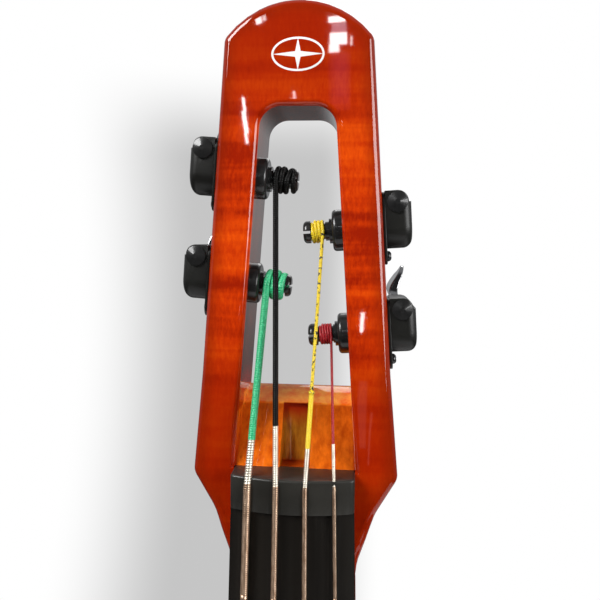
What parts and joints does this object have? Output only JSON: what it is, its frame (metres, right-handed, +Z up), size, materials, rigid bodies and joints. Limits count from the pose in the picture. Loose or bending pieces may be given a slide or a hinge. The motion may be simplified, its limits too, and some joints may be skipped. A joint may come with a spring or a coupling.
{
  "type": "electric upright double bass",
  "caption": "Slim solid-body electric upright double bass with a slotted flamed-maple head, worm-geared tuners, wound strings and a stand socket in its back.",
  "frame": {"origin": "centre of the M8 stand socket's mouth, on the outer face of the plate in the back of the body", "axes": "+Z up along the neck towards the head, +Y out of the back (the way the stand's stud leaves), +X to the right seen from the front; the front faces -Y"},
  "size_m": [0.1837, 0.1125, 1.3784],
  "materials": {
    "flamed_maple": "gloss",
    "ebony": "satin",
    "nut_black": "satin",
    "ivory_inlay": "gloss",
    "plain_steel": "satin",
    "bridge_maple": "satin",
    "pickup_brass": "satin",
    "black_plastic": "satin",
    "black_screws": "gloss",
    "black_metal": "satin",
    "black_case": "satin",
    "black_gloss_metal": "gloss",
    "bright_metal": "polished",
    "key_chrome": "polished",
    "gear_brass": "satin",
    "ball_brass": "satin",
    "wound_steel": "satin",
    "silk_green": "matte",
    "silk_black": "matte",
    "silk_yellow": "matte",
    "silk_red": "matte"
  },
  "bodies": {
    "instrument": {"body_back": "flamed_maple", "body_top": "flamed_maple", "bridge": "bridge_maple", "bridge_pickups": "pickup_brass", "cavity_cover": "black_plastic", "cover_screws": "black_screws", "fingerboard": "ebony", "head_inlay": "ivory_inlay", "jack_plate": "black_metal", "jack_screws": "black_screws", "neck": "flamed_maple", "neck_bolts": "black_screws", "neck_ferrules": "black_metal", "nut": "nut_black", "output_jack": "bright_metal", "post_bushings": "black_gloss_metal", "pots": "plain_steel", "stand_plate": "black_metal", "stand_screws": "black_screws", "string_a": "wound_steel", "string_d": "wound_steel", "string_e": "wound_steel", "string_ends": "ball_brass", "string_g": "wound_steel", "tailpiece": "black_metal", "tailpiece_screws": "black_screws", "toggle_body": "bright_metal", "truss_rod": "plain_steel", "tuner_case_a": "black_case", "tuner_case_d": "black_case", "tuner_case_e": "black_case", "tuner_case_g": "black_case", "tuner_plates": "black_case", "tuner_screws": "black_screws"},
    "key_e": {"tuner_worm_e": "black_gloss_metal", "tuner_key_e": "key_chrome"},
    "post_e": {"tuner_post_e": "black_gloss_metal", "tuner_wheel_e": "gear_brass", "winding_e": "silk_green"},
    "key_a": {"tuner_worm_a": "black_gloss_metal", "tuner_key_a": "key_chrome"},
    "post_a": {"tuner_post_a": "black_gloss_metal", "tuner_wheel_a": "gear_brass", "winding_a": "silk_black"},
    "key_d": {"tuner_worm_d": "black_gloss_metal", "tuner_key_d": "key_chrome"},
    "post_d": {"tuner_post_d": "black_gloss_metal", "tuner_wheel_d": "gear_brass", "winding_d": "silk_yellow"},
    "key_g": {"tuner_worm_g": "black_gloss_metal", "tuner_key_g": "key_chrome"},
    "post_g": {"tuner_post_g": "black_gloss_metal", "tuner_wheel_g": "gear_brass", "winding_g": "silk_red"},
    "volume_control": {"knob_volume": "black_plastic", "shaft_volume": "plain_steel"},
    "tone_control": {"knob_tone": "black_plastic", "shaft_tone": "plain_steel"},
    "toggle": {"toggle_lever": "bright_metal"}
  },
  "joints": [
    {"name": "key_e_turn", "type": "hinge", "parent": "instrument", "child": "key_e", "pos_m": [-0.03606, -0.068, 0.84875], "axis": [0, 1, 0], "continuous": true},
    {"name": "post_e_turn", "type": "hinge", "parent": "instrument", "child": "post_e", "pos_m": [-0.03147, -0.068, 0.84], "axis": [-0.9974, 0, 0.0715], "continuous": true},
    {"name": "key_a_turn", "type": "hinge", "parent": "instrument", "child": "key_a", "pos_m": [-0.03336, -0.068, 0.88645], "axis": [0, 1, 0], "continuous": true},
    {"name": "post_a_turn", "type": "hinge", "parent": "instrument", "child": "post_a", "pos_m": [-0.02877, -0.068, 0.8777], "axis": [-0.9974, 0, 0.0715], "continuous": true},
    {"name": "key_d_turn", "type": "hinge", "parent": "instrument", "child": "key_d", "pos_m": [0.03467, -0.068, 0.86815], "axis": [0, 1, 0], "continuous": true},
    {"name": "post_d_turn", "type": "hinge", "parent": "instrument", "child": "post_d", "pos_m": [0.03008, -0.068, 0.8594], "axis": [0.9974, 0, 0.0715], "continuous": true},
    {"name": "key_g_turn", "type": "hinge", "parent": "instrument", "child": "key_g", "pos_m": [0.03734, -0.068, 0.83085], "axis": [0, 1, 0], "continuous": true},
    {"name": "post_g_turn", "type": "hinge", "parent": "instrument", "child": "post_g", "pos_m": [0.03276, -0.068, 0.8221], "axis": [0.9974, 0, 0.0715], "continuous": true},
    {"name": "volume_turn", "type": "hinge", "parent": "instrument", "child": "volume_control", "pos_m": [0.057, -0.044, -0.324], "axis": [0, 1, 0], "range_deg": [-140, 140]},
    {"name": "tone_turn", "type": "hinge", "parent": "instrument", "child": "tone_control", "pos_m": [0.054, -0.044, -0.362], "axis": [0, 1, 0], "range_deg": [-140, 140]},
    {"name": "toggle_tilt", "type": "hinge", "parent": "instrument", "child": "toggle", "pos_m": [0.058, -0.046, -0.286], "axis": [1, 0, 0], "range_deg": [-12, 12]}
  ],
  "couplings": [
    {"joint": "post_e_turn", "follows": "key_e_turn", "ratio": 0.05},
    {"joint": "post_a_turn", "follows": "key_a_turn", "ratio": 0.05},
    {"joint": "post_d_turn", "follows": "key_d_turn", "ratio": 0.05},
    {"joint": "post_g_turn", "follows": "key_g_turn", "ratio": 0.05}
  ]
}
